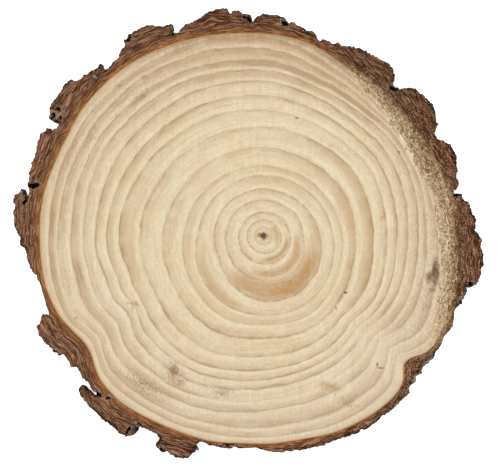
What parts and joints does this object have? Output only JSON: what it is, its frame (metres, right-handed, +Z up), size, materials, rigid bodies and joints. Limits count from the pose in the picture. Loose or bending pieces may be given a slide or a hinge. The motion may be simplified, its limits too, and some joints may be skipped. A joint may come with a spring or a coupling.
{
  "type": "wood slice",
  "caption": "Round slice sawn across a pine trunk: pale wood with growth rings and a dark pith inside a broken ring of rough brown bark, flat on both sawn faces.",
  "frame": {"origin": "on the lower sawn face, under the middle of the outline", "axes": "+Z up along the trunk, from the lower sawn face to the upper one; +X along the longer side of the outline; +Y towards the top of the outline as seen from above"},
  "size_m": [0.2354, 0.2256, 0.022],
  "materials": {
    "wood": "raw sawn end grain",
    "bark": "rough flaky bark"
  },
  "bodies": {
    "root": {"wood": "wood", "bark": "bark"}
  },
  "joints": []
}
